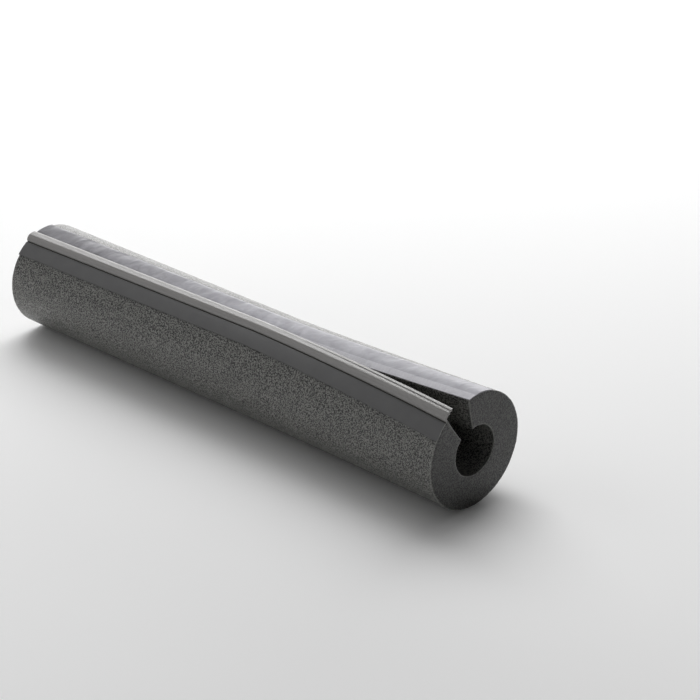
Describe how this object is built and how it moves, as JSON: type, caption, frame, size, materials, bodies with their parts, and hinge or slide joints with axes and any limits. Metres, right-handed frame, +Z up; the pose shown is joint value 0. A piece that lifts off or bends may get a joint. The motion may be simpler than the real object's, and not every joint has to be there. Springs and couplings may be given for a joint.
{
  "type": "pipe insulation lagging",
  "caption": "Slit foam tube that wraps a heating pipe, with a press-together closure strip along the slit; the slit gapes at the near end.",
  "frame": {"origin": "on the floor under the tube's axis, halfway along its length", "axes": "+X along the tube towards the gaping near end, +Z up, +Y away from the side that the slit leans to"},
  "size_m": [0.34, 0.0704, 0.0661],
  "materials": {
    "foam": "dark grey closed-cell polyethylene foam, fine matt grain",
    "hook_film": "grey extruded polyethylene, dark satin flange and paler ribbed flap",
    "catch_film": "grey polyethylene film, glossy, wrinkled on the foam"
  },
  "bodies": {
    "root": {"foam_tube": "foam", "hook_strip": "hook_film", "catch_strip": "catch_film"}
  },
  "joints": []
}
